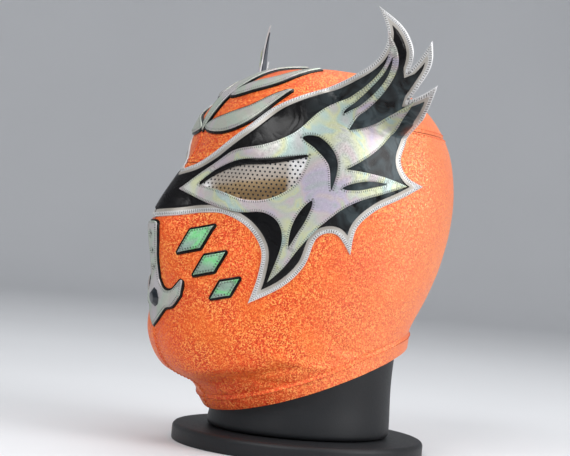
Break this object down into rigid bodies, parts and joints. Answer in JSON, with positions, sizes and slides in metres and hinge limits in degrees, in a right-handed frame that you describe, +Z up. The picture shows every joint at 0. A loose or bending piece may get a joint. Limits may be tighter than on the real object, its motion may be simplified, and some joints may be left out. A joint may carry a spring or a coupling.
{
  "type": "lucha libre mask on a display head",
  "caption": "Full-face lace-up wrestling mask in glitter fabric with stacked vinyl and holographic sheets and stand-up temple fins, on a black display head with a round base.",
  "frame": {"origin": "centre of the round base's underside", "axes": "+Z up, the face looks towards -Y, the wearer's left is +X"},
  "size_m": [0.2354, 0.2116, 0.2862],
  "materials": {
    "fabric": "orange glitter stretch fabric, satin with gold sparkle",
    "silver_edge": "pale silver sheet leather with punched stitch dots",
    "black_vinyl": "black patent vinyl, high gloss",
    "holo_silver": "grey holographic sheet, pearly with pastel tints",
    "holo_green": "green holographic sheet",
    "eye_mesh": "perforated metallic mesh, silver to golden brown",
    "eyelet_metal": "nickel-plated eyelets",
    "stand_black": "matt charcoal black moulding"
  },
  "bodies": {
    "root": {"base_plate": "stand_black", "head_form": "stand_black", "crown_panel_left": "fabric", "side_panel_left": "fabric", "eye_edge_left": "silver_edge", "eye_vinyl_left": "black_vinyl", "eye_flame_left": "holo_silver", "eye_mesh_left": "eye_mesh", "fin_lining_left": "black_vinyl", "crest_leaf_low_left": "holo_silver", "crest_leaf_high_left": "holo_silver", "placket_left": "black_vinyl", "cheek_backing_1_left": "black_vinyl", "cheek_lozenge_1_left": "holo_green", "cheek_backing_2_left": "black_vinyl", "cheek_lozenge_2_left": "holo_green", "cheek_backing_3_left": "black_vinyl", "cheek_lozenge_3_left": "holo_green", "eyelet_1_left": "eyelet_metal", "eyelet_2_left": "eyelet_metal", "eyelet_3_left": "eyelet_metal", "eyelet_4_left": "eyelet_metal", "eyelet_5_left": "eyelet_metal", "eyelet_6_left": "eyelet_metal", "crown_panel_right": "fabric", "side_panel_right": "fabric", "eye_edge_right": "silver_edge", "eye_vinyl_right": "black_vinyl", "eye_flame_right": "holo_silver", "eye_mesh_right": "eye_mesh", "fin_lining_right": "black_vinyl", "crest_leaf_low_right": "holo_silver", "crest_leaf_high_right": "holo_silver", "placket_right": "black_vinyl", "cheek_backing_1_right": "black_vinyl", "cheek_lozenge_1_right": "holo_green", "cheek_backing_2_right": "black_vinyl", "cheek_lozenge_2_right": "holo_green", "cheek_backing_3_right": "black_vinyl", "cheek_lozenge_3_right": "holo_green", "eyelet_1_right": "eyelet_metal", "eyelet_2_right": "eyelet_metal", "eyelet_3_right": "eyelet_metal", "eyelet_4_right": "eyelet_metal", "eyelet_5_right": "eyelet_metal", "eyelet_6_right": "eyelet_metal", "crest_spear": "holo_silver", "crest_backing": "black_vinyl", "nose_backing": "black_vinyl", "nose_guard": "silver_edge", "nose_cabochon": "black_vinyl", "tongue": "fabric"}
  },
  "joints": []
}
